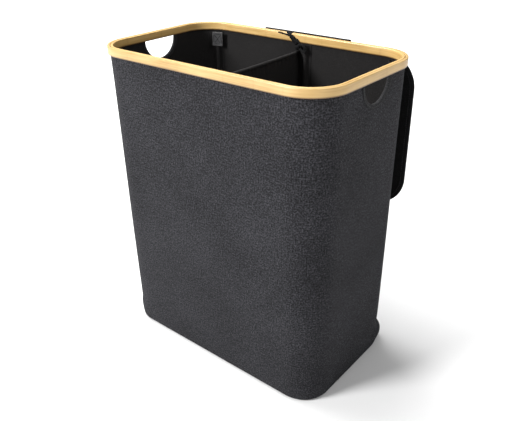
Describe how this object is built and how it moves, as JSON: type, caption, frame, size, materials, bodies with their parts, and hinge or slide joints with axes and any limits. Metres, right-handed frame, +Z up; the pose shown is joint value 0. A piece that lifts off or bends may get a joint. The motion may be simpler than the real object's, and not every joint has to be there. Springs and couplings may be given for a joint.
{
  "type": "laundry sorter",
  "caption": "Tall tapering fabric laundry sorter with a bent bamboo rim, a tied fabric divider, hand holes in the short walls, a hanging flap lid and swivel castors under the base.",
  "frame": {"origin": "middle of the bounding box's bottom face, on the floor under the body", "axes": "+Z up, +X along the long walls to the right, +Y towards the wall that the lid hangs behind"},
  "size_m": [0.55, 0.3378, 0.6551],
  "materials": {
    "bamboo": "clear satin lacquer on bent bamboo",
    "outer_fabric": "dark grey melange plain weave",
    "lining": "dark woven lining",
    "fibreboard": "bare stiffening board",
    "lid_fabric": "near-black plain weave",
    "webbing": "woven tape",
    "steel": "zinc-plated",
    "tyre": "moulded, satin"
  },
  "bodies": {
    "body": {"rim_outer_hoop": "bamboo", "rim_inner_hoop": "bamboo", "outer_front_panel": "outer_fabric", "stiffener_board_front": "fibreboard", "outer_right_panel": "outer_fabric", "stiffener_board_right": "fibreboard", "outer_back_panel": "outer_fabric", "stiffener_board_back": "fibreboard", "outer_left_panel": "outer_fabric", "stiffener_board_left": "fibreboard", "wall_lining": "lining", "bottom_hem": "outer_fabric", "handle_binding_left": "webbing", "handle_binding_right": "webbing", "rod_sleeve_front_left": "lining", "support_rod_front_left": "steel", "rod_sleeve_front_right": "lining", "support_rod_front_right": "steel", "rod_sleeve_back_left": "lining", "support_rod_back_left": "steel", "rod_sleeve_back_right": "lining", "support_rod_back_right": "steel", "rod_sleeve_front_middle": "lining", "support_rod_front_middle": "steel", "rod_sleeve_back_middle": "lining", "support_rod_back_middle": "steel", "rod_tab_back_left": "webbing", "bottom_cover": "lining", "base_board": "fibreboard", "floor_pad_left": "lining", "floor_pad_right": "lining", "divider_panel": "lining", "divider_hem": "lining", "divider_tie_tape": "webbing", "divider_tie_knot": "webbing", "hinge_strip_on_rim": "lid_fabric", "castor_plate_front_left": "steel", "castor_plate_front_right": "steel", "castor_plate_back_left": "steel", "castor_plate_back_right": "steel"},
    "lid": {"lid_lining": "lining", "lid_board": "fibreboard", "lid_cover": "lid_fabric", "lid_edge_binding": "webbing", "hinge_strip_on_lid": "lid_fabric"},
    "castor_fork_front_left": {"castor_fork_front_left": "steel", "castor_axle_front_left": "steel"},
    "castor_wheel_front_left": {"castor_wheel_front_left": "tyre"},
    "castor_fork_front_right": {"castor_fork_front_right": "steel", "castor_axle_front_right": "steel"},
    "castor_wheel_front_right": {"castor_wheel_front_right": "tyre"},
    "castor_fork_back_left": {"castor_fork_back_left": "steel", "castor_axle_back_left": "steel"},
    "castor_wheel_back_left": {"castor_wheel_back_left": "tyre"},
    "castor_fork_back_right": {"castor_fork_back_right": "steel", "castor_axle_back_right": "steel"},
    "castor_wheel_back_right": {"castor_wheel_back_right": "tyre"}
  },
  "joints": [
    {"name": "lid_hinge", "type": "hinge", "parent": "body", "child": "lid", "pos_m": [0, 0.16825, 0.656], "axis": [1, 0, 0], "range_deg": [0, 270]},
    {"name": "castor_swivel_front_left", "type": "hinge", "parent": "body", "child": "castor_fork_front_left", "pos_m": [-0.205, -0.10185, 0.03], "axis": [0, 0, 1], "continuous": true},
    {"name": "castor_spin_front_left", "type": "hinge", "parent": "castor_fork_front_left", "child": "castor_wheel_front_left", "pos_m": [-0.193, -0.10185, 0.013], "axis": [0, 1, 0], "continuous": true},
    {"name": "castor_swivel_front_right", "type": "hinge", "parent": "body", "child": "castor_fork_front_right", "pos_m": [0.205, -0.10185, 0.03], "axis": [0, 0, 1], "continuous": true},
    {"name": "castor_spin_front_right", "type": "hinge", "parent": "castor_fork_front_right", "child": "castor_wheel_front_right", "pos_m": [0.217, -0.10185, 0.013], "axis": [0, 1, 0], "continuous": true},
    {"name": "castor_swivel_back_left", "type": "hinge", "parent": "body", "child": "castor_fork_back_left", "pos_m": [-0.205, 0.09415, 0.03], "axis": [0, 0, 1], "continuous": true},
    {"name": "castor_spin_back_left", "type": "hinge", "parent": "castor_fork_back_left", "child": "castor_wheel_back_left", "pos_m": [-0.193, 0.09415, 0.013], "axis": [0, 1, 0], "continuous": true},
    {"name": "castor_swivel_back_right", "type": "hinge", "parent": "body", "child": "castor_fork_back_right", "pos_m": [0.205, 0.09415, 0.03], "axis": [0, 0, 1], "continuous": true},
    {"name": "castor_spin_back_right", "type": "hinge", "parent": "castor_fork_back_right", "child": "castor_wheel_back_right", "pos_m": [0.217, 0.09415, 0.013], "axis": [0, 1, 0], "continuous": true}
  ]
}
